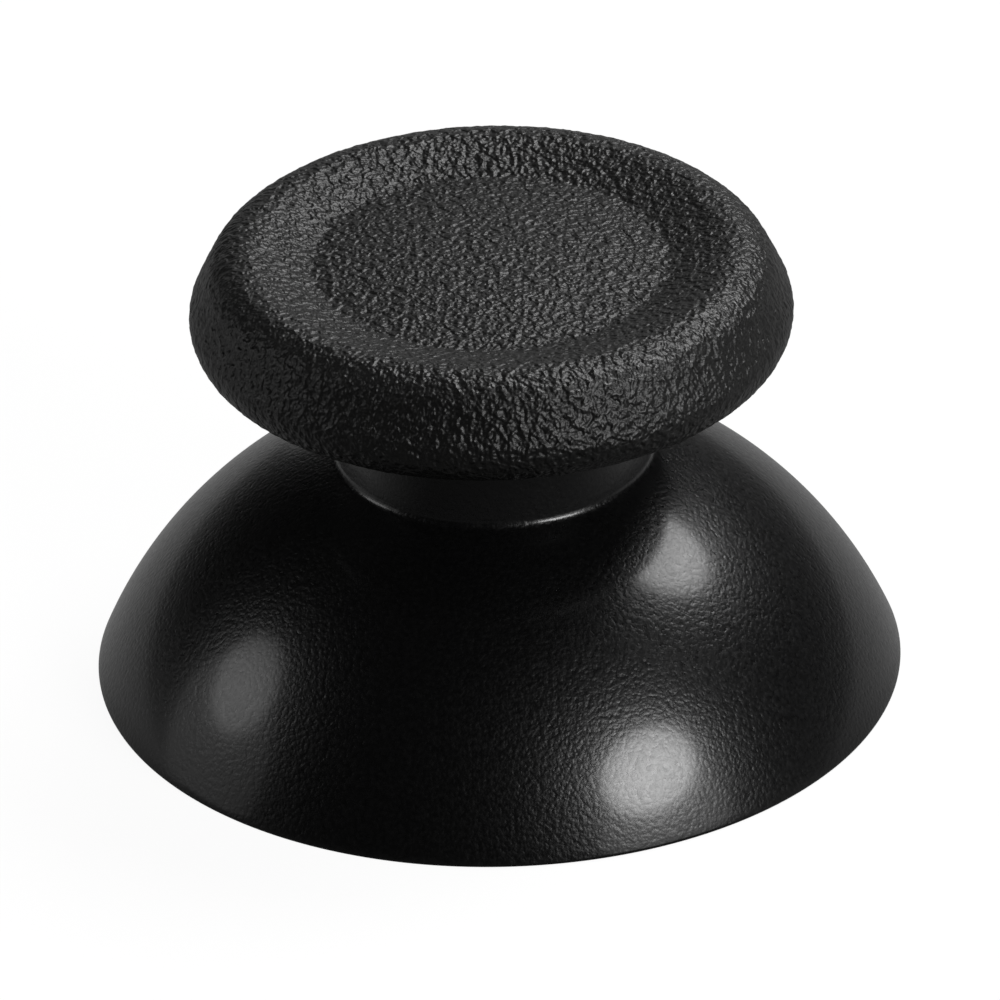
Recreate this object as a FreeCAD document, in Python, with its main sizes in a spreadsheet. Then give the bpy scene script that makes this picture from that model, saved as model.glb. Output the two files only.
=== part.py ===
import FreeCAD, Part
import math
import os
import Sketcher

# Thumb stick of a game controller: a two-shot moulding that pushes onto the
# flatted shaft of a joystick. The hard shot is a thin hollow skirt shaped as
# part of a ball, with a short neck, a flat head on the neck and a keyed
# socket boss inside. The soft shot is a grained grip moulded over the head.
# Everything is turned about +Z. The origin is the centre of the rim plane,
# on which the loose part stands. Millimetres and degrees.

# Driving sizes: name, value, what it is
SIZES = [
    ("rim_radius", 13.0, "outer radius of the skirt at the rim plane"),
    ("ball_depth", 5.25, "how far the skirt's ball centre lies below the rim plane"),
    ("skirt_wall", 1.2, "thickness of the skirt"),
    ("rim_break", 0.1, "chamfer on the rim's two edges"),
    ("neck_radius", 5.07, "radius of the plain neck"),
    ("neck_length", 2.9, "length of the neck, from the skirt to the head's underside"),
    ("neck_root_round", 0.3, "fillet where the neck leaves the skirt"),
    ("neck_flare_round", 1.2, "fillet where the neck spreads under the head"),
    ("head_slope_drop", 0.9, "fall of the head's underside from its edge to the neck"),
    ("head_thickness", 1.45, "thickness of the head at its edge"),
    ("head_edge_break", 0.4, "chamfer on the head's upper edge, under the grip"),
    ("socket_diameter", 4.2, "diameter across the round sides of the socket"),
    ("socket_flats", 3.1, "distance between the flats of the socket"),
    ("socket_depth", 6.4, "depth of the socket from the end of the boss"),
    ("socket_lead", 0.3, "lead-in chamfer at the mouth of the socket"),
    ("boss_wall", 1.2, "wall of the boss round the socket, at its end"),
    ("boss_draft", 1.0, "draft of the boss's outside, in degrees"),
    ("boss_setback", 1.6, "height of the boss's end above the rim plane"),
    ("boss_root_slope", 0.4, "sloped corner where the boss meets the skirt"),
    ("boss_end_break", 0.25, "chamfer round the end of the boss"),
    ("grip_radius", 9.64, "outer radius of the grip at its widest"),
    ("grip_side_round", 1.21, "radius of the grip's rounded lower side"),
    ("grip_side_lean", 25.5, "lean of the grip's upper side from upright, in degrees"),
    ("grip_flank", 1.065, "length of the straight stretch of the upper side"),
    ("grip_shoulder_round", 1.4, "radius of the shoulder outside the crest"),
    ("grip_lip_land", 0.22, "flat land of the grip's lip, beside the head's edge"),
    ("crest_inner_round", 2.0, "radius of the ring's top inside the crest"),
    ("dish_slope", 15.0, "fall of the ring's inner side, in degrees"),
    ("dish_width", 1.61, "width of the ring's inner side, seen from above"),
    ("disc_rise", 0.3, "height of the middle disc's crown above its edge"),
    ("groove_round", 0.6, "fillet in the groove between the ring and the disc"),
]

# Places that follow from the driving sizes
PLACES = [
    ("ball_radius", "sqrt(Sizes.rim_radius ^ 2 + Sizes.ball_depth ^ 2)"),
    ("inner_ball", "ball_radius - Sizes.skirt_wall"),
    ("rim_inside", "sqrt(inner_ball ^ 2 - Sizes.ball_depth ^ 2)"),
    ("neck_foot", "sqrt(ball_radius ^ 2 - Sizes.neck_radius ^ 2) - Sizes.ball_depth"),
    ("neck_top", "neck_foot + Sizes.neck_length"),
    ("head_height", "neck_top + Sizes.head_slope_drop"),
    ("head_top", "head_height + Sizes.head_thickness"),
    ("head_radius", "Sizes.grip_radius - Sizes.grip_side_round - Sizes.grip_lip_land"),
    ("socket_radius", "Sizes.socket_diameter / 2"),
    ("half_flats", "Sizes.socket_flats / 2"),
    ("flat_reach", "sqrt(socket_radius ^ 2 - half_flats ^ 2)"),
    ("boss_radius", "socket_radius + Sizes.boss_wall"),
    ("boss_top", "sqrt(inner_ball ^ 2 - boss_radius ^ 2) - Sizes.ball_depth"),
    ("side_centre", "Sizes.grip_radius - Sizes.grip_side_round"),
    ("widest_height", "head_height + Sizes.grip_side_round"),
    ("lean_sine", "sin(Sizes.grip_side_lean * 1 deg)"),
    ("lean_cosine", "cos(Sizes.grip_side_lean * 1 deg)"),
    ("flank_low_radius", "side_centre + Sizes.grip_side_round * lean_cosine"),
    ("flank_low_height", "widest_height + Sizes.grip_side_round * lean_sine"),
    ("flank_top_radius", "flank_low_radius - Sizes.grip_flank * lean_sine"),
    ("flank_top_height", "flank_low_height + Sizes.grip_flank * lean_cosine"),
    ("crest_radius", "flank_top_radius - Sizes.grip_shoulder_round * lean_cosine"),
    ("shoulder_height", "flank_top_height - Sizes.grip_shoulder_round * lean_sine"),
    ("crest_height", "shoulder_height + Sizes.grip_shoulder_round"),
    ("dish_top_radius", "crest_radius - Sizes.crest_inner_round * sin(Sizes.dish_slope * 1 deg)"),
    ("dish_top_height", "crest_height - Sizes.crest_inner_round * (1 - cos(Sizes.dish_slope * 1 deg))"),
    ("disc_radius", "dish_top_radius - Sizes.dish_width"),
    ("groove_height", "dish_top_height - Sizes.dish_width * tan(Sizes.dish_slope * 1 deg)"),
    ("crown_height", "groove_height + Sizes.disc_rise"),
    ("crown_ball", "(disc_radius ^ 2 + Sizes.disc_rise ^ 2) / (2 * Sizes.disc_rise)"),
]

doc = FreeCAD.newDocument("thumb_stick")
sizes = doc.addObject("Spreadsheet::Sheet", "Sizes")
for row, (name, value, meaning) in enumerate(SIZES, start=1):
    sizes.set("A%d" % row, name)
    sizes.set("B%d" % row, str(value))
    sizes.set("C%d" % row, meaning)
    sizes.setAlias("B%d" % row, name)
doc.recompute()
places = doc.addObject("Spreadsheet::Sheet", "Places")
for row, (name, formula) in enumerate(PLACES, start=1):
    places.set("A%d" % row, name)
    places.set("B%d" % row, "=" + formula)
    places.setAlias("B%d" % row, name)
    doc.recompute()
PLACE_NAMES = {name for name, formula in PLACES}


def size(name):
    """The number in the named cell of either sheet."""
    sheet = places if name in PLACE_NAMES else sizes
    return float(sheet.get(name))


def cell(name):
    """How an expression calls the named cell."""
    return ("Places." if name in PLACE_NAMES else "Sizes.") + name


# Pieces of outline: their points, and the rules that hold them

def start(piece):
    """The first point of a piece of outline."""
    return (piece, 1)


def end(piece):
    """The last point of a piece of outline."""
    return (piece, 2)


def centre(piece):
    """The centre of an arc."""
    return (piece, 3)


LEVEL, UPRIGHT = -1, -2
ORIGIN = start(LEVEL)


def new_sketch(body, name, plane):
    """A sketch on one of the body's own origin planes."""
    sketch = body.newObject("Sketcher::SketchObject", name)
    feature = [f for f in body.Origin.OriginFeatures if f.Role == plane][0]
    sketch.AttachmentSupport = [(feature, "")]
    sketch.MapMode = "FlatFace"
    return sketch


def add_line(sketch, first, last):
    """A straight line between two points."""
    line = Part.LineSegment(FreeCAD.Vector(*first), FreeCAD.Vector(*last))
    return sketch.addGeometry(line, False)


def add_arc(sketch, middle, first, last):
    """An arc drawn anticlockwise round its middle, from one point to another."""
    middle, first, last = (FreeCAD.Vector(*place) for place in (middle, first, last))
    circle = Part.Circle(middle, FreeCAD.Vector(0, 0, 1), (first - middle).Length)
    arc = Part.ArcOfCircle(circle, circle.parameter(first), circle.parameter(last))
    return sketch.addGeometry(arc, False)


def keep(sketch, rule, *items):
    """Puts one plain rule, such as Horizontal, on each item."""
    for item in items:
        sketch.addConstraint(Sketcher.Constraint(rule, *item))


def bind(sketch, name, kind, *items):
    """A length or radius that follows the sheet's cell of the same name."""
    index = sketch.addConstraint(Sketcher.Constraint(kind, *items, size(name)))
    sketch.renameConstraint(index, name)
    sketch.setExpression("Constraints." + name, cell(name))


def bind_turn(sketch, name, quarters, *items):
    """An angle of so many right angles and the degrees in the named cell."""
    value = math.radians(90 * quarters + size(name))
    index = sketch.addConstraint(Sketcher.Constraint("Angle", *items, value))
    sketch.renameConstraint(index, name)
    sketch.setExpression("Constraints." + name, "%d * 90 deg + %s * 1 deg" % (quarters, cell(name)))


# Features

def revolve(body, sketch, name):
    """Turns the sketch once round its upright axis."""
    turned = body.newObject("PartDesign::Revolution", name)
    turned.Profile = sketch
    turned.ReferenceAxis = (sketch, ["V_Axis"])
    turned.Angle = 360.0
    doc.recompute()
    body.Tip = turned


def ring_edges(body, sketch, *corners):
    """Names of the circular edges that the sketch's corners make when turned."""
    names = []
    for corner in corners:
        place = sketch.getPoint(*corner)
        for number, edge in enumerate(body.Tip.Shape.Edges, start=1):
            if edge.Degenerated or not isinstance(edge.Curve, Part.Circle):
                continue
            circle = edge.Curve
            if math.isclose(circle.Radius, place.x, rel_tol=1e-6) and abs(circle.Center.z - place.y) < 1e-6:
                names.append("Edge%d" % number)
    assert len(names) == len(corners), "edge not found"
    return names


def dress(body, kind, name, size_name, edges):
    """Adds a fillet or a chamfer of one named size to the body's last feature."""
    last = body.Tip
    feature = body.newObject("PartDesign::" + kind, name)
    feature.Base = (last, edges)
    feature.setExpression("Radius" if kind == "Fillet" else "Size", cell(size_name))
    doc.recompute()
    body.Tip = feature


# Hard shot: skirt, neck, head and socket boss

def make_dome_base():
    """The hard moulding: one turned outline, dressed, with a keyed socket."""
    body = doc.addObject("PartDesign::Body", "dome_base")
    section = new_sketch(body, "base_section", "XZ_Plane")
    ball_centre = (0, -size("ball_depth"))
    crown = (0, size("head_top"))
    head_upper = (size("head_radius"), size("head_top"))
    head_lower = (size("head_radius"), size("head_height"))
    neck_upper = (size("neck_radius"), size("neck_top"))
    neck_lower = (size("neck_radius"), size("neck_foot"))
    rim_outer = (size("rim_radius"), 0)
    rim_inner = (size("rim_inside"), 0)
    boss_upper = (size("boss_radius"), size("boss_top"))
    boss_lower = (size("boss_radius"), size("boss_setback"))
    boss_middle = (0, size("boss_setback"))

    top = add_line(section, crown, head_upper)
    edge = add_line(section, head_upper, head_lower)
    under = add_line(section, head_lower, neck_upper)
    neck = add_line(section, neck_upper, neck_lower)
    outside = add_arc(section, ball_centre, rim_outer, neck_lower)
    rim = add_line(section, rim_outer, rim_inner)
    inside = add_arc(section, ball_centre, rim_inner, boss_upper)
    boss = add_line(section, boss_upper, boss_lower)
    foot = add_line(section, boss_lower, boss_middle)
    axis = add_line(section, boss_middle, crown)

    keep(section, "Coincident",
         (*end(top), *start(edge)), (*end(edge), *start(under)), (*end(under), *start(neck)),
         (*end(neck), *end(outside)), (*start(outside), *start(rim)), (*end(rim), *start(inside)),
         (*end(inside), *start(boss)), (*end(boss), *start(foot)), (*end(foot), *start(axis)),
         (*end(axis), *start(top)), (*centre(outside), *centre(inside)))
    keep(section, "Horizontal", (top,), (rim,), (foot,))
    keep(section, "Vertical", (edge,), (neck,))
    keep(section, "PointOnObject", (*start(axis), UPRIGHT), (*end(axis), UPRIGHT),
         (*centre(outside), UPRIGHT), (*start(rim), LEVEL))
    bind(section, "rim_radius", "DistanceX", *ORIGIN, *start(rim))
    bind(section, "ball_depth", "DistanceY", *centre(outside), *ORIGIN)
    bind(section, "inner_ball", "Radius", inside)
    bind(section, "neck_radius", "DistanceX", *ORIGIN, *start(neck))
    bind(section, "neck_length", "DistanceY", *end(neck), *start(neck))
    bind(section, "head_radius", "DistanceX", *ORIGIN, *end(edge))
    bind(section, "head_slope_drop", "DistanceY", *start(neck), *end(edge))
    bind(section, "head_thickness", "DistanceY", *end(edge), *start(edge))
    bind(section, "boss_radius", "DistanceX", *ORIGIN, *start(foot))
    bind(section, "boss_setback", "DistanceY", *ORIGIN, *start(foot))
    bind_turn(section, "boss_draft", 1, *end(boss), *start(foot))
    revolve(body, section, "base_turned")

    dress(body, "Fillet", "neck_flare", "neck_flare_round", ring_edges(body, section, start(neck)))
    dress(body, "Fillet", "neck_root", "neck_root_round", ring_edges(body, section, end(neck)))
    dress(body, "Chamfer", "boss_root", "boss_root_slope", ring_edges(body, section, start(boss)))
    dress(body, "Chamfer", "boss_end", "boss_end_break", ring_edges(body, section, end(boss)))
    dress(body, "Chamfer", "rim_edges", "rim_break", ring_edges(body, section, start(rim), end(rim)))
    dress(body, "Chamfer", "head_edge", "head_edge_break", ring_edges(body, section, start(edge)))
    cut_socket(body)
    return body


def cut_socket(body):
    """The blind socket with two flats, and the chamfer round its mouth."""
    section = new_sketch(body, "socket_section", "XY_Plane")
    mouth_height = size("boss_setback")
    section.AttachmentOffset = FreeCAD.Placement(FreeCAD.Vector(0, 0, mouth_height), FreeCAD.Rotation())
    section.setExpression(".AttachmentOffset.Base.z", cell("boss_setback"))
    reach = size("flat_reach")
    flat = size("half_flats")
    right = add_arc(section, (0, 0), (reach, -flat), (reach, flat))
    upper = add_line(section, (reach, flat), (-reach, flat))
    left = add_arc(section, (0, 0), (-reach, flat), (-reach, -flat))
    lower = add_line(section, (-reach, -flat), (reach, -flat))
    keep(section, "Coincident",
         (*end(right), *start(upper)), (*end(upper), *start(left)), (*end(left), *start(lower)),
         (*end(lower), *start(right)), (*centre(right), *ORIGIN), (*centre(left), *ORIGIN))
    keep(section, "Horizontal", (upper,), (lower,))
    keep(section, "Equal", (right, left), (upper, lower))
    bind(section, "socket_radius", "Radius", right)
    bind(section, "half_flats", "DistanceY", *ORIGIN, *start(upper))
    doc.recompute()
    before = body.Tip.Shape.Volume
    socket = body.newObject("PartDesign::Pocket", "socket")
    socket.Profile = section
    socket.Reversed = True
    socket.setExpression("Length", cell("socket_depth"))
    doc.recompute()
    body.Tip = socket
    assert socket.Shape.Volume < before - 1.0, "the socket cuts nothing"

    mouth = []
    for number, side in enumerate(socket.Shape.Edges, start=1):
        box = side.BoundBox
        level = abs(box.ZMin - mouth_height) < 1e-4 and abs(box.ZMax - mouth_height) < 1e-4
        if level and box.XMax < size("boss_radius") - size("boss_wall") / 2:
            mouth.append("Edge%d" % number)
    dress(body, "Chamfer", "socket_lead_in", "socket_lead", mouth)


# Soft shot: the grip moulded over the head

def make_grip_cap():
    """The grip: one outline of tangent arcs, turned, with the head's place left in it."""
    body = doc.addObject("PartDesign::Body", "grip_cap")
    section = new_sketch(body, "grip_section", "XZ_Plane")
    side_middle = (size("side_centre"), size("widest_height"))
    side_foot = (size("side_centre"), size("head_height"))
    flank_low = (size("flank_low_radius"), size("flank_low_height"))
    flank_top = (size("flank_top_radius"), size("flank_top_height"))
    crest = (size("crest_radius"), size("crest_height"))
    dish_top = (size("dish_top_radius"), size("dish_top_height"))
    groove = (size("disc_radius"), size("groove_height"))
    crown = (0, size("crown_height"))
    seat_middle = (0, size("head_top"))
    seat_corner = (size("head_radius"), size("head_top"))
    lip_inner = (size("head_radius"), size("head_height"))
    shoulder_middle = (size("crest_radius"), size("shoulder_height"))
    ring_middle = (size("crest_radius"), size("crest_height") - size("crest_inner_round"))
    crown_middle = (0, size("crown_height") - size("crown_ball"))

    side = add_arc(section, side_middle, side_foot, flank_low)
    flank = add_line(section, flank_low, flank_top)
    shoulder = add_arc(section, shoulder_middle, flank_top, crest)
    ring = add_arc(section, ring_middle, crest, dish_top)
    fall = add_line(section, dish_top, groove)
    disc = add_arc(section, crown_middle, groove, crown)
    axis = add_line(section, crown, seat_middle)
    seat = add_line(section, seat_middle, seat_corner)
    wall = add_line(section, seat_corner, lip_inner)
    land = add_line(section, lip_inner, side_foot)

    keep(section, "Tangent",
         (*end(land), *start(side)), (*end(side), *start(flank)), (*end(flank), *start(shoulder)),
         (*end(shoulder), *start(ring)), (*end(ring), *start(fall)))
    keep(section, "Coincident",
         (*end(fall), *start(disc)), (*end(disc), *start(axis)), (*end(axis), *start(seat)),
         (*end(seat), *start(wall)), (*end(wall), *start(land)))
    keep(section, "Horizontal", (seat,), (land,))
    keep(section, "Vertical", (wall,), (*centre(shoulder), *centre(ring)))
    keep(section, "PointOnObject", (*start(axis), UPRIGHT), (*end(axis), UPRIGHT),
         (*centre(disc), UPRIGHT))
    bind(section, "head_height", "DistanceY", *ORIGIN, *end(wall))
    bind(section, "head_top", "DistanceY", *ORIGIN, *start(wall))
    bind(section, "head_radius", "DistanceX", *ORIGIN, *end(wall))
    bind(section, "grip_lip_land", "DistanceX", *start(land), *end(land))
    bind(section, "grip_side_round", "Radius", side)
    bind_turn(section, "grip_side_lean", 1, *ORIGIN, *start(flank))
    bind(section, "grip_flank", "Distance", flank)
    bind(section, "grip_shoulder_round", "Radius", shoulder)
    bind(section, "crest_inner_round", "Radius", ring)
    bind_turn(section, "dish_slope", 2, *ORIGIN, *start(fall))
    bind(section, "dish_width", "DistanceX", *end(fall), *start(fall))
    bind(section, "disc_rise", "DistanceY", *start(disc), *end(disc))
    revolve(body, section, "grip_turned")

    dress(body, "Fillet", "groove", "groove_round", ring_edges(body, section, end(fall)))
    dress(body, "Chamfer", "seat_edge", "head_edge_break", ring_edges(body, section, start(wall)))
    return body


# Each body's label names its file
bodies = [make_dome_base(), make_grip_cap()]
for body in bodies:
    body.Label = body.Name
    body.Placement = FreeCAD.Placement()
doc.recompute()

# Nothing is written unless every object is sound
for item in doc.Objects:
    assert "Invalid" not in item.State and "Error" not in item.State, item.Name + " failed"
for body in bodies:
    shape = body.Shape
    assert not shape.isNull() and shape.isValid() and len(shape.Solids) == 1, body.Label + " is not one solid"
os.makedirs("parts", exist_ok=True)
for body in bodies:
    body.Shape.exportStep("parts/" + body.Label + ".step")
    box = body.Shape.optimalBoundingBox(False)
    print("%s: volume %.1f mm3, radius %.3f, from %.3f to %.3f high"
          % (body.Label, body.Shape.Volume, box.XMax, box.ZMin, box.ZMax))
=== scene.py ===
# %% [markdown]
# A thumb stick for a game controller, in two mouldings. The lower one is hard
# black plastic: a hollow round skirt, a short neck and, inside, a boss with a
# keyed socket. The upper one is a soft grip with a pebbled grain, moulded over
# the head of the neck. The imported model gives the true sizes, so it is loaded
# first and everything after it is set in the same frame, in metres.

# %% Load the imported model
import math
import bmesh
import bpy
from mathutils import Matrix, Vector


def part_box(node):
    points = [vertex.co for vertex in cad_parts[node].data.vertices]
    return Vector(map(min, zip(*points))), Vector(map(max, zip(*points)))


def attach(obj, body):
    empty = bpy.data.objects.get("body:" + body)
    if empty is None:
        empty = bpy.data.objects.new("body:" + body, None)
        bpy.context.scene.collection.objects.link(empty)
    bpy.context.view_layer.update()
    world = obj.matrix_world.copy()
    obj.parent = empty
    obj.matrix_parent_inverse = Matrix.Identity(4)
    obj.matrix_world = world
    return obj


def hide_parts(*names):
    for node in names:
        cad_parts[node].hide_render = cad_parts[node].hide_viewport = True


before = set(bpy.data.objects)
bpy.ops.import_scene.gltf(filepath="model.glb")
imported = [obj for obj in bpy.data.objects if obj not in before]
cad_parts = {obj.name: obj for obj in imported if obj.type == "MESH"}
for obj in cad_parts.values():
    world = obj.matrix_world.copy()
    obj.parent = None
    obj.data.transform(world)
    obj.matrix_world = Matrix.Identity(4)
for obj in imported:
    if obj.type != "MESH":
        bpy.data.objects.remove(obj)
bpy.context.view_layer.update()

MM = 0.001
grip_low, grip_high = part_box("grip_cap")
base_low, base_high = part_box("dome_base")
print("grip is %.2f mm high, hard moulding %.2f mm"
      % ((grip_high.z - grip_low.z) / MM, (base_high.z - base_low.z) / MM))

# %% [markdown]
# The picture was taken from a little above, with a long lens, and the camera
# was tipped about one degree. A camera can be aimed with a Track To constraint,
# but that keeps it level. Here its three axes are worked out and written into
# its matrix, so that height, tip and lens are each one plain number.

# %% Camera
TARGET = Vector((0, 0, 8.045 * MM))
TARGET_PIXEL = (494.4, 440.6)
FRAME_PIXELS = 1000
CAMERA_DISTANCE = 0.4
CAMERA_ELEVATION = math.radians(29.91)
CAMERA_TIP = math.radians(1.356)
CLIP_NEAR = 0.01
CLIP_FAR = 10
LENS = 450.27
SENSOR = 36.0

right = Vector((1, 0, 0))
ahead = Vector((0, math.cos(CAMERA_ELEVATION), -math.sin(CAMERA_ELEVATION)))
above = right.cross(ahead)
tipped_right = math.cos(CAMERA_TIP) * right - math.sin(CAMERA_TIP) * above
tipped_above = math.sin(CAMERA_TIP) * right + math.cos(CAMERA_TIP) * above
focal_pixels = LENS / SENSOR * FRAME_PIXELS
aim = (ahead * focal_pixels + tipped_right * (FRAME_PIXELS / 2 - TARGET_PIXEL[0])
       - tipped_above * (FRAME_PIXELS / 2 - TARGET_PIXEL[1])).normalized()
side = (tipped_right - aim * tipped_right.dot(aim)).normalized()

camera_data = bpy.data.cameras.new("camera")
camera_data.lens = LENS
camera_data.sensor_width = SENSOR
camera_data.clip_start = CLIP_NEAR
camera_data.clip_end = CLIP_FAR
camera = bpy.data.objects.new("camera", camera_data)
bpy.context.collection.objects.link(camera)
axes = Matrix((side, side.cross(aim), -aim)).transposed()
camera.matrix_world = Matrix.Translation(TARGET - ahead * CAMERA_DISTANCE) @ axes.to_4x4()
bpy.context.scene.camera = camera
bpy.context.scene.view_settings.view_transform = "Standard"
print("camera at", [round(x, 4) for x in camera.location])

# %% [markdown]
# The stick stands on a pale floor. A floor that is only lit never quite reaches
# white, and more light would wash out the black plastic. So the floor also
# glows, but only for rays that come from the camera, a mirror-like surface or
# glass. It still darkens where the stick keeps the lamps off it. The mirrored
# glow is weaker than the seen one, and in front of the stick it fades almost
# away, so that the neck's front stays dark while the skirt's outline gets a pale
# edge. Seen from below the floor is clear, so the inside of the skirt shows.

# %% Floor
FLOOR_SIZE = 3.0
FLOOR_GREY = 0.07
FLOOR_GLOW = 0.94
FLOOR_MIRRORED = 0.25
FLOOR_MIRRORED_IN_FRONT = 0.02
FADE_STARTS = 0.0
FADE_ENDS = -14 * MM


def math_node(nodes, operation):
    """Adds a Math node that does one operation."""
    node = nodes.new("ShaderNodeMath")
    node.operation = operation
    return node


bpy.ops.object.select_all(action="DESELECT")
bpy.ops.mesh.primitive_plane_add(size=FLOOR_SIZE, location=(0, 0, 0))
floor = bpy.context.object
floor.name = "floor"

floor_paint = bpy.data.materials.new("floor_paint")
floor_paint.use_nodes = True
nodes, links = floor_paint.node_tree.nodes, floor_paint.node_tree.links
nodes.clear()
output = nodes.new("ShaderNodeOutputMaterial")
paint = nodes.new("ShaderNodeBsdfDiffuse")
paint.inputs["Color"].default_value = (FLOOR_GREY, FLOOR_GREY, FLOOR_GREY, 1)
glow = nodes.new("ShaderNodeEmission")
clear = nodes.new("ShaderNodeBsdfTransparent")
ray = nodes.new("ShaderNodeLightPath")
geometry = nodes.new("ShaderNodeNewGeometry")
direct = math_node(nodes, "MAXIMUM")
seen = math_node(nodes, "MULTIPLY")
seen.inputs[1].default_value = FLOOR_GLOW
front_to_back = nodes.new("ShaderNodeSeparateXYZ")
fade_in_front = nodes.new("ShaderNodeMapRange")
fade_in_front.inputs["From Min"].default_value = FADE_ENDS
fade_in_front.inputs["From Max"].default_value = FADE_STARTS
fade_in_front.inputs["To Min"].default_value = FLOOR_MIRRORED_IN_FRONT
fade_in_front.inputs["To Max"].default_value = FLOOR_MIRRORED
mirrored = math_node(nodes, "MULTIPLY")
strength = math_node(nodes, "MAXIMUM")
lit = nodes.new("ShaderNodeAddShader")
one_sided = nodes.new("ShaderNodeMixShader")
links.new(ray.outputs["Is Camera Ray"], direct.inputs[0])
links.new(ray.outputs["Is Transmission Ray"], direct.inputs[1])
links.new(direct.outputs[0], seen.inputs[0])
links.new(ray.outputs["Is Glossy Ray"], mirrored.inputs[0])
links.new(geometry.outputs["Position"], front_to_back.inputs[0])
links.new(front_to_back.outputs["Y"], fade_in_front.inputs["Value"])
links.new(fade_in_front.outputs["Result"], mirrored.inputs[1])
links.new(seen.outputs[0], strength.inputs[0])
links.new(mirrored.outputs[0], strength.inputs[1])
links.new(strength.outputs[0], glow.inputs["Strength"])
links.new(paint.outputs[0], lit.inputs[0])
links.new(glow.outputs[0], lit.inputs[1])
links.new(geometry.outputs["Backfacing"], one_sided.inputs[0])
links.new(lit.outputs[0], one_sided.inputs[1])
links.new(clear.outputs[0], one_sided.inputs[2])
links.new(one_sided.outputs[0], output.inputs["Surface"])
floor.data.materials.append(floor_paint)
print("floor", FLOOR_SIZE, "m square")

# %% [markdown]
# The room round the stick is dim, which keeps the black plastic black. The
# camera sees it as white as the floor, so that a view from the side has the
# same white behind it, and glossy parts mirror a little of that white low down.
# A World shader does both: it asks what kind of ray has come, and how steeply.

# %% Room
ROOM_DIM = 0.012
HORIZON_TOP = 0.2
HORIZON_MIRRORED = 0.065

world = bpy.data.worlds.new("room")
bpy.context.scene.world = world
world.use_nodes = True
nodes, links = world.node_tree.nodes, world.node_tree.links
nodes.clear()
output = nodes.new("ShaderNodeOutputWorld")
sky = nodes.new("ShaderNodeBackground")
sky.inputs["Color"].default_value = (1, 1, 1, 1)
place = nodes.new("ShaderNodeTexCoord")
split = nodes.new("ShaderNodeSeparateXYZ")
low_down = nodes.new("ShaderNodeMapRange")
low_down.inputs["From Min"].default_value = HORIZON_TOP
low_down.inputs["From Max"].default_value = 0.0
low_down.inputs["To Max"].default_value = HORIZON_MIRRORED
ray = nodes.new("ShaderNodeLightPath")
mirror = math_node(nodes, "MAXIMUM")
pale_low = math_node(nodes, "MULTIPLY")
pale = math_node(nodes, "MAXIMUM")
level = nodes.new("ShaderNodeMapRange")
level.inputs["To Min"].default_value = ROOM_DIM
links.new(place.outputs["Generated"], split.inputs[0])
links.new(split.outputs["Z"], low_down.inputs["Value"])
links.new(ray.outputs["Is Glossy Ray"], mirror.inputs[0])
links.new(ray.outputs["Is Transmission Ray"], mirror.inputs[1])
links.new(low_down.outputs["Result"], pale_low.inputs[0])
links.new(mirror.outputs[0], pale_low.inputs[1])
links.new(ray.outputs["Is Camera Ray"], pale.inputs[0])
links.new(pale_low.outputs[0], pale.inputs[1])
links.new(pale.outputs[0], level.inputs["Value"])
links.new(level.outputs["Result"], sky.inputs["Strength"])
links.new(sky.outputs[0], output.inputs["Surface"])
print("room level", ROOM_DIM)

# %% [markdown]
# A black satin surface hardly shows its own colour. What the eye reads as its
# shape is the mirror image of the lamps, so each soft box is placed by turn and
# height to set one highlight. The box in front on the right makes the large
# highlight of the skirt, and a weak one on the left the small one. Three more
# stand high behind on the right and light the top of the grip. The skirt shows
# a crescent there, where the grip hides the rest of the image of a box. Wide
# weak boxes near the floor brighten the skirt's lower part and its outline.

# %% Lamps
# Each row: name, turn and height in degrees, how wide and tall in metres, watts.
LAMP_DISTANCE = 0.45
LAMPS = [
    ("front_right", 315.5, 27.2, 0.22, 0.155, 1.24),
    ("front_low", 315.0, 12.0, 0.3, 0.3, 0.33),
    ("high_right", 31.0, 50.5, 0.2, 0.2, 0.92),
    ("high_behind", 50.0, 56.0, 0.16, 0.16, 0.75),
    ("behind_right", 66.0, 42.0, 0.14, 0.14, 0.32),
    ("far_left", 177.0, 25.3, 0.165, 0.165, 0.15),
    ("left_low", 180.0, 12.0, 0.3, 0.3, 0.12),
    ("back_low", 93.0, 12.0, 0.3, 0.3, 0.065),
]
for name, turn, height, wide, tall, watts in LAMPS:
    data = bpy.data.lights.new(name, "AREA")
    data.shape = "ELLIPSE"
    data.size = wide
    data.size_y = tall
    data.energy = watts
    lamp = bpy.data.objects.new(name, data)
    bpy.context.collection.objects.link(lamp)
    out = math.cos(math.radians(height))
    towards = Vector((out * math.cos(math.radians(turn)), out * math.sin(math.radians(turn)),
                      math.sin(math.radians(height))))
    lamp.location = TARGET + towards * LAMP_DISTANCE
    lamp.rotation_euler = towards.to_track_quat("Z", "Y").to_euler()
    lamp.visible_camera = False
print(len(LAMPS), "lamps")

# %% [markdown]
# Both mouldings are round, so each is drawn as half an outline and turned once
# about the upright axis, as a potter or a lathe would. The outline starts as
# one vertex. Extrude draws it on in a straight line, and Spin draws it on along
# an arc, which keeps every round exact. The last Spin turns the whole outline.

# %% Drawing an outline
# In millimetres: vertices nearer than the first merge, places nearer than the
# second count as the same.
MERGE_UNDER = 0.0005
NEAR = 0.01
bpy.context.tool_settings.mesh_select_mode = (True, False, False)


def start_outline(name, place):
    """Starts a piece with one vertex at (radius, height) in millimetres."""
    bpy.ops.object.select_all(action="DESELECT")
    bpy.ops.mesh.primitive_plane_add(size=MM, location=(0, 0, 0))
    piece = bpy.context.object
    piece.name = name
    bpy.ops.object.mode_set(mode="EDIT")
    bpy.ops.mesh.select_all(action="SELECT")
    bpy.ops.mesh.merge(type="CENTER")
    bpy.ops.transform.translate(value=(place[0] * MM, 0, place[1] * MM))
    return piece


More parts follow.
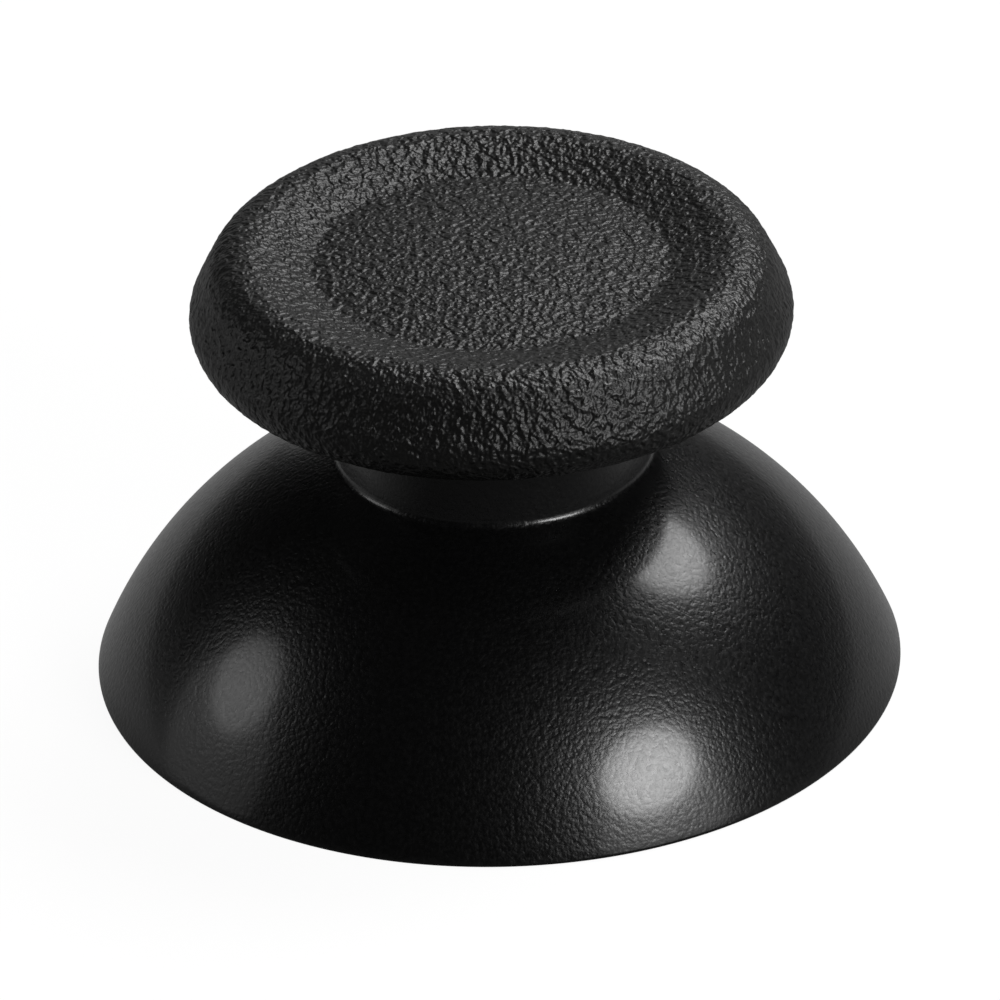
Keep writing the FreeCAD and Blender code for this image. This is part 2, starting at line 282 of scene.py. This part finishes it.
def outline_end():
    """Where the outline has got to, as (radius, height) in millimetres."""
    mesh = bmesh.from_edit_mesh(bpy.context.edit_object.data)
    last = [v for v in mesh.verts if v.select][0]
    return Vector((last.co.x / MM, last.co.z / MM))


def line_to(place, steps=1):
    """Draws the outline on in a straight line, in equal steps."""
    step = (Vector(place) - outline_end()) * MM / steps
    for _ in range(steps):
        bpy.ops.mesh.extrude_region_move(TRANSFORM_OT_translate={"value": (step.x, 0, step.y)})


def arc_to(place, about, steps):
    """Draws the outline on along an arc about a centre, the short way round."""
    first = outline_end() - Vector(about)
    last = Vector(place) - Vector(about)
    turn = math.remainder(math.atan2(last.y, last.x) - math.atan2(first.y, first.x), 2 * math.pi)
    bpy.ops.mesh.spin(steps=steps, angle=turn, center=(about[0] * MM, 0, about[1] * MM),
                      axis=(0, 1, 0))


def turn_outline(steps):
    """Turns the outline once about the upright axis and closes the seam."""
    bpy.ops.mesh.select_all(action="SELECT")
    bpy.ops.mesh.spin(steps=steps, angle=2 * math.pi, center=(0, 0, 0), axis=(0, 0, 1))
    bpy.ops.mesh.select_all(action="SELECT")
    bpy.ops.mesh.remove_doubles(threshold=MERGE_UNDER * MM)


def select_where(wanted):
    """Selects the vertices for which wanted(radius, height) in millimetres is true."""
    bpy.ops.mesh.select_all(action="DESELECT")
    mesh = bmesh.from_edit_mesh(bpy.context.edit_object.data)
    for vertex in mesh.verts:
        vertex.select = wanted(math.hypot(vertex.co.x, vertex.co.y) / MM, vertex.co.z / MM)
    mesh.select_flush_mode()
    bmesh.update_edit_mesh(bpy.context.edit_object.data)


def close_piece(piece, smooth_under):
    """Turns all faces outwards, leaves edit mode and shades the piece."""
    bpy.ops.mesh.select_all(action="SELECT")
    bpy.ops.mesh.normals_make_consistent(inside=False)
    bpy.ops.object.mode_set(mode="OBJECT")
    bpy.ops.object.shade_smooth_by_angle(angle=math.radians(smooth_under))
    print(piece.name, len(piece.data.polygons), "faces")


# %% [markdown]
# The hard moulding first. Its skirt follows a ball whose centre lies below the
# rim, inside and out, so the wall is even. The fillets at the neck and at the
# boss are arcs that touch their neighbours, and their centres follow from the
# two surfaces that each of them joins.

# %% Sizes of the hard moulding, in millimetres
RIM_RADIUS = 13.0
BALL_DEPTH = 5.25
SKIRT_WALL = 1.2
RIM_ROUND = 0.1
NECK_RADIUS = 5.07
NECK_ROOT = 0.3
NECK_FLARE = 1.2
HEAD_RADIUS = 8.21
HEAD_SLOPE_DROP = 0.9
HEAD_BREAK = 0.4
BOSS_RADIUS = 3.3
BOSS_SETBACK = 1.6
BOSS_DRAFT = 1.0
BOSS_ROOT = 0.4
BOSS_BREAK = 0.25
SOCKET_RADIUS = 2.1
SOCKET_HALF_FLATS = 1.55
SOCKET_DEPTH = 6.4
SOCKET_LEAD = 0.3
head_height = grip_low.z / MM
head_top = base_high.z / MM
outer_ball = math.hypot(RIM_RADIUS, BALL_DEPTH)
inner_ball = outer_ball - SKIRT_WALL
ball_centre = Vector((0, -BALL_DEPTH))
print("ball radius %.3f outside, %.3f inside" % (outer_ball, inner_ball))

# %% Outline of the hard moulding
BASE_TURN_STEPS = 256


def on_ball(ball, centre):
    """The point of a ball that lies in line with a fillet's centre."""
    return ball_centre + (Vector(centre) - ball_centre).normalized() * ball


slope = HEAD_SLOPE_DROP / (HEAD_RADIUS - NECK_RADIUS)
slant = math.hypot(1, slope)
neck_top = head_height - HEAD_SLOPE_DROP
flare = Vector((NECK_RADIUS + NECK_FLARE, neck_top + NECK_FLARE * (slope - slant)))
root_x = NECK_RADIUS + NECK_ROOT
root = Vector((root_x, math.sqrt((outer_ball + NECK_ROOT) ** 2 - root_x ** 2) - BALL_DEPTH))
low = BALL_DEPTH + RIM_ROUND
rim_out = Vector((math.sqrt((outer_ball - RIM_ROUND) ** 2 - low ** 2), RIM_ROUND))
rim_in = Vector((math.sqrt((inner_ball + RIM_ROUND) ** 2 - low ** 2), RIM_ROUND))
draft = math.tan(math.radians(BOSS_DRAFT))
boss_x = BOSS_RADIUS + BOSS_ROOT + draft * (math.sqrt(inner_ball ** 2 - BOSS_RADIUS ** 2)
                                            - BALL_DEPTH - BOSS_SETBACK)
boss = Vector((boss_x, math.sqrt((inner_ball - BOSS_ROOT) ** 2 - boss_x ** 2) - BALL_DEPTH))

base = start_outline("stick_base", (HEAD_RADIUS - HEAD_BREAK, head_top))
line_to((HEAD_RADIUS, head_top - HEAD_BREAK))
line_to((HEAD_RADIUS, head_height))
line_to((flare.x - NECK_FLARE * slope / slant, flare.y + NECK_FLARE / slant), steps=4)
arc_to((NECK_RADIUS, flare.y), flare, steps=12)
line_to((NECK_RADIUS, root.y), steps=4)
arc_to(on_ball(outer_ball, root), root, steps=8)
arc_to(on_ball(outer_ball, rim_out), ball_centre, steps=52)
arc_to((rim_out.x, 0), rim_out, steps=6)
line_to((rim_in.x, 0), steps=2)
arc_to(on_ball(inner_ball, rim_in), rim_in, steps=6)
arc_to(on_ball(inner_ball, boss), ball_centre, steps=40)
arc_to((boss.x - BOSS_ROOT, boss.y), boss, steps=8)
line_to((BOSS_RADIUS, BOSS_SETBACK + BOSS_BREAK), steps=4)
line_to((BOSS_RADIUS - BOSS_BREAK, BOSS_SETBACK))
turn_outline(BASE_TURN_STEPS)
print("skirt, neck and boss turned")

# %% [markdown]
# The socket is a blind hole with two flats, which key it to the shaft. It could
# be cut with a Boolean, but three loops of as many vertices as the boss has can
# be bridged instead, and that keeps the mesh in tidy quads. Each loop starts as
# a circle, and what lies beyond a flat is squashed onto it.


# %% Socket
def socket_loop(radius, half_flats, height):
    """A circle with two flats, added to the piece that is being drawn."""
    bpy.ops.mesh.select_all(action="DESELECT")
    bpy.ops.mesh.primitive_circle_add(vertices=BASE_TURN_STEPS, radius=radius * MM,
                                      location=(0, 0, height * MM))
    mesh = bmesh.from_edit_mesh(bpy.context.edit_object.data)
    loop = [v for v in mesh.verts if v.select]
    for hand in (1, -1):
        for vertex in loop:
            vertex.select = vertex.co.y * hand > half_flats * MM
        mesh.select_flush_mode()
        bmesh.update_edit_mesh(bpy.context.edit_object.data)
        bpy.ops.transform.resize(value=(1, 0, 1), center_override=(0, hand * half_flats * MM, 0))


LEAD_TOP = BOSS_SETBACK + SOCKET_LEAD
SOCKET_TOP = BOSS_SETBACK + SOCKET_DEPTH
INSIDE = SOCKET_RADIUS + NEAR
socket_loop(SOCKET_RADIUS + SOCKET_LEAD, SOCKET_HALF_FLATS + SOCKET_LEAD, BOSS_SETBACK)
socket_loop(SOCKET_RADIUS, SOCKET_HALF_FLATS, LEAD_TOP)
socket_loop(SOCKET_RADIUS, SOCKET_HALF_FLATS, SOCKET_TOP)
select_where(lambda r, z: r < BOSS_RADIUS and abs(z - BOSS_SETBACK) < NEAR)
bpy.ops.mesh.bridge_edge_loops()
select_where(lambda r, z: r < INSIDE + SOCKET_LEAD and z < LEAD_TOP + NEAR)
bpy.ops.mesh.bridge_edge_loops()
select_where(lambda r, z: r < INSIDE and LEAD_TOP - NEAR < z < SOCKET_TOP + NEAR)
bpy.ops.mesh.bridge_edge_loops()
select_where(lambda r, z: r < INSIDE and abs(z - SOCKET_TOP) < NEAR)
bpy.ops.mesh.edge_face_add()
select_where(lambda r, z: z > head_top - NEAR)
bpy.ops.mesh.edge_face_add()
close_piece(base, smooth_under=30)

# %% [markdown]
# The grip is the part that the thumb feels. Its section is a chain of arcs and
# lines that touch: a round lower side, a leaning flank, a shoulder, the crest
# of the ring, and an inner side that falls to a gently crowned disc. Its mesh is
# fine, because the grain will be real relief and not only a trick of shading.

# %% Sizes of the grip, in millimetres
GRIP_RADIUS = 9.64
SIDE_ROUND = 1.21
SIDE_LEAN = 25.5
FLANK = 1.065
SHOULDER_ROUND = 1.4
INNER_ROUND = 2.0
DISH_SLOPE = 15.0
DISH_WIDTH = 1.61
DISC_RISE = 0.3
GROOVE_ROUND = 0.6
lean = math.radians(SIDE_LEAN)
fall = math.radians(DISH_SLOPE)
outwards = Vector((math.cos(lean), math.sin(lean)))
side_centre = Vector((GRIP_RADIUS - SIDE_ROUND, head_height + SIDE_ROUND))
flank_low = side_centre + outwards * SIDE_ROUND
flank_top = flank_low + Vector((-math.sin(lean), math.cos(lean))) * FLANK
shoulder_centre = flank_top - outwards * SHOULDER_ROUND
crest = shoulder_centre + Vector((0, SHOULDER_ROUND))
ring_centre = crest - Vector((0, INNER_ROUND))
dish_top = ring_centre + Vector((-math.sin(fall), math.cos(fall))) * INNER_ROUND
groove = dish_top - Vector((1, math.tan(fall))) * DISH_WIDTH
crown_ball = (groove.x ** 2 + DISC_RISE ** 2) / (2 * DISC_RISE)
crown_height = groove.y + DISC_RISE
edge_slope = math.asin(groove.x / crown_ball)
reach = GROOVE_ROUND * math.tan((fall + edge_slope) / 2)
groove_out = groove + Vector((math.cos(fall), math.sin(fall))) * reach
groove_in = groove + Vector((-math.cos(edge_slope), math.sin(edge_slope))) * reach
groove_centre = groove_out + Vector((-math.sin(fall), math.cos(fall))) * GROOVE_ROUND
print("crest at radius %.2f, height %.2f" % (crest.x, crest.y))

# %% Outline of the grip
GRIP_TURN_STEPS = 640
grip = start_outline("grip_cover", (HEAD_RADIUS - HEAD_BREAK, head_top))
line_to((HEAD_RADIUS, head_top - HEAD_BREAK))
line_to((HEAD_RADIUS, head_height))
line_to((side_centre.x, head_height), steps=2)
arc_to(flank_low, side_centre, steps=27)
line_to(flank_top, steps=12)
arc_to(crest, shoulder_centre, steps=17)
arc_to(dish_top, ring_centre, steps=6)
line_to(groove_out, steps=17)
arc_to(groove_in, groove_centre, steps=3)
turn_outline(GRIP_TURN_STEPS)
print("ring of the grip turned")

# %% [markdown]
# A spun disc would crowd its faces together at the centre, and the grain would
# smear there. Grid Fill closes the middle with an even net of squares instead.
# It comes out flat, so each vertex is then lifted onto the crown's ball.

# %% Disc and seat
# In millimetres, like NEAR.
VERY_NEAR = 0.001
ABOVE_SEAT = 0.1
select_where(lambda r, z: abs(r - groove_in.x) < NEAR and abs(z - groove_in.y) < NEAR)
bpy.ops.mesh.fill_grid(span=GRIP_TURN_STEPS // 4)
mesh = bmesh.from_edit_mesh(grip.data)
for vertex in mesh.verts:
    radius = math.hypot(vertex.co.x, vertex.co.y) / MM
    if radius < groove_in.x - VERY_NEAR and vertex.co.z / MM > head_top + ABOVE_SEAT:
        vertex.co.z = (crown_height - crown_ball + math.sqrt(crown_ball ** 2 - radius ** 2)) * MM
bmesh.update_edit_mesh(grip.data)
select_where(lambda r, z: r < HEAD_RADIUS - HEAD_BREAK + NEAR and abs(z - head_top) < NEAR)
bpy.ops.mesh.edge_face_add()
close_piece(grip, smooth_under=40)

# %% [markdown]
# The grain is etched into the mould, so on the part it is a field of low, soft
# pebbles with pits between them. Two Displace modifiers carve it: one for the
# pebbles and one that breaks them up. A middle level just over 1 makes both cut
# inwards only, so the grip keeps its size. A vertex group leaves the seat and
# the lip smooth.

# %% Grain of the grip, in millimetres
GRAIN_DEPTH = 0.05
PEBBLE_SIZE = 0.25
PEBBLE_CONTRAST = 1.6
PEBBLE_LAYERS = 1
BREAKUP_DEPTH = 0.015
BREAKUP_SIZE = 0.28
LIP_FADE = 0.25
INWARDS_ONLY = 1.02
grained = grip.vertex_groups.new(name="grained")
for vertex in grip.data.vertices:
    radius = math.hypot(vertex.co.x, vertex.co.y) / MM
    height = vertex.co.z / MM
    if radius > side_centre.x or height > head_top + ABOVE_SEAT:
        fade = min(1.0, max(0.0, (height - head_height) / LIP_FADE))
        grained.add([vertex.index], fade, "REPLACE")

pebbles = bpy.data.textures.new("pebbles", "CLOUDS")
pebbles.noise_basis = "IMPROVED_PERLIN"
pebbles.noise_scale = PEBBLE_SIZE * MM
pebbles.noise_depth = PEBBLE_LAYERS
pebbles.contrast = PEBBLE_CONTRAST
breakup = bpy.data.textures.new("breakup", "VORONOI")
breakup.noise_scale = BREAKUP_SIZE * MM
for texture, depth in ((pebbles, GRAIN_DEPTH), (breakup, BREAKUP_DEPTH)):
    carve = grip.modifiers.new(texture.name, "DISPLACE")
    carve.texture = texture
    carve.texture_coords = "LOCAL"
    carve.vertex_group = "grained"
    carve.mid_level = INWARDS_ONLY
    carve.strength = depth * MM
    bpy.ops.object.modifier_apply(modifier=carve.name)
print("grain carved, box", [round(x / MM, 3) for x in grip.dimensions])

# %% [markdown]
# Both plastics carry a fine texture from the mould, the hard one a far flatter
# one. It is the same recipe with other numbers, so it is one node group. Noise,
# stretched to more contrast, gives a mask for the roughness and for painted
# shade: the colour is darker where the mask is low, in the pits of the bump.
# Mixed with soft cells, the mask gives the height for a Bump node.

# %% Node group for the texture of a moulding and its painted pit shade
NOISE_DETAIL = 1.0
NOISE_ROUGHNESS = 0.5
MASK_STARTS = 0.25
MASK_ENDS = 0.75


def grain_and_pit_shade():
    """Makes the node group: scale and share of cells in, height and a mask for roughness and painted pit
    shade out.
    """
    group = bpy.data.node_groups.new("grain_and_pit_shade", "ShaderNodeTree")
    for name, way in (("Scale", "INPUT"), ("Cells", "INPUT"), ("Height", "OUTPUT"), ("Mask", "OUTPUT")):
        group.interface.new_socket(name, in_out=way, socket_type="NodeSocketFloat")
    nodes, links = group.nodes, group.links
    given = nodes.new("NodeGroupInput")
    result = nodes.new("NodeGroupOutput")
    place = nodes.new("ShaderNodeTexCoord")
    noise = nodes.new("ShaderNodeTexNoise")
    noise.inputs["Detail"].default_value = NOISE_DETAIL
    noise.inputs["Roughness"].default_value = NOISE_ROUGHNESS
    cells = nodes.new("ShaderNodeTexVoronoi")
    cells.feature = "SMOOTH_F1"
    blend = nodes.new("ShaderNodeMix")
    blend.data_type = "FLOAT"
    # The stretched noise is the mask: it is low in the pits of the bump, where it paints shade into the
    # colour.
    mask = nodes.new("ShaderNodeMapRange")
    mask.inputs["From Min"].default_value = MASK_STARTS
    mask.inputs["From Max"].default_value = MASK_ENDS
    links.new(place.outputs["Object"], noise.inputs["Vector"])
    links.new(place.outputs["Object"], cells.inputs["Vector"])
    links.new(given.outputs["Scale"], noise.inputs["Scale"])
    links.new(given.outputs["Scale"], cells.inputs["Scale"])
    links.new(given.outputs["Cells"], blend.inputs["Factor"])
    links.new(noise.outputs["Fac"], mask.inputs["Value"])
    links.new(mask.outputs["Result"], blend.inputs["A"])
    links.new(cells.outputs["Distance"], blend.inputs["B"])
    links.new(blend.outputs["Result"], result.inputs["Height"])
    links.new(mask.outputs["Result"], result.inputs["Mask"])
    return group


texture_group = grain_and_pit_shade()
print("node group", texture_group.name)

# %% [markdown]
# The two materials. The hard plastic is a satin black: a highlight on it has a
# fairly clear core and a wide soft edge that breaks up into fine specks. One
# roughness can't give both, so a thin coat adds the core to the rougher sheen
# below it. The grip is a matt, slightly warm black without a coat. Each takes
# its fine relief from the group through a Bump node and its roughness from the
# group's mask. The same mask paints shade into the colour, darker in the pits of
# the bump: a little on the hard plastic, four times darker on the grip.

# %% Materials
COAT_ROUGHNESS = 0.15


def moulded_plastic(name, dark, light, gloss_range, scale, cells, bump_depth, specular, coat):
    """A moulded plastic whose roughness varies with its texture, and whose colour is painted darker in
    the pits of the bump, as shade.
    """
    material = bpy.data.materials.new(name)
    material.use_nodes = True
    nodes, links = material.node_tree.nodes, material.node_tree.links
    shader = nodes["Principled BSDF"]
    texture = nodes.new("ShaderNodeGroup")
    texture.node_tree = texture_group
    texture.inputs["Scale"].default_value = scale / MM
    texture.inputs["Cells"].default_value = cells
    colour = nodes.new("ShaderNodeMix")
    colour.data_type = "RGBA"
    colour.inputs["A"].default_value = (*dark, 1)
    colour.inputs["B"].default_value = (*light, 1)
    rough = nodes.new("ShaderNodeMapRange")
    rough.inputs["To Min"].default_value = gloss_range[0]
    rough.inputs["To Max"].default_value = gloss_range[1]
    bump = nodes.new("ShaderNodeBump")
    bump.inputs["Distance"].default_value = bump_depth * MM
    shader.inputs["Specular IOR Level"].default_value = specular
    shader.inputs["Coat Weight"].default_value = coat
    shader.inputs["Coat Roughness"].default_value = COAT_ROUGHNESS
    # Painted shade: the colour is darker where the mask is low, in the pits of the bump.
    links.new(texture.outputs["Mask"], colour.inputs["Factor"])
    links.new(texture.outputs["Mask"], rough.inputs["Value"])
    links.new(texture.outputs["Height"], bump.inputs["Height"])
    links.new(colour.outputs["Result"], shader.inputs["Base Color"])
    links.new(rough.outputs["Result"], shader.inputs["Roughness"])
    links.new(bump.outputs["Normal"], shader.inputs["Normal"])
    return material


# The dark colour goes into the pits of the bump as painted shade: a little darker on the hard plastic,
# four times darker on the grip.
satin_black = moulded_plastic("satin_black", dark=(0.002, 0.002, 0.0021), light=(0.0026, 0.0026, 0.0027),
                              gloss_range=(0.26, 0.4), scale=7.0, cells=0.1, bump_depth=0.012,
                              specular=0.27, coat=0.45)
soft_grip = moulded_plastic("soft_grip", dark=(0.001, 0.001, 0.0009), light=(0.004, 0.0039, 0.0037),
                            gloss_range=(0.48, 0.4), scale=4.5, cells=0.15, bump_depth=0.085,
                            specular=0.42, coat=0.0)
base.data.materials.append(satin_black)
grip.data.materials.append(soft_grip)
print("materials on", base.name, "and", grip.name)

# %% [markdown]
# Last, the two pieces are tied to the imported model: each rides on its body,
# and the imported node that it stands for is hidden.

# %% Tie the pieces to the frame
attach(base, "root")
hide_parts("dome_base")
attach(grip, "root")
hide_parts("grip_cap")
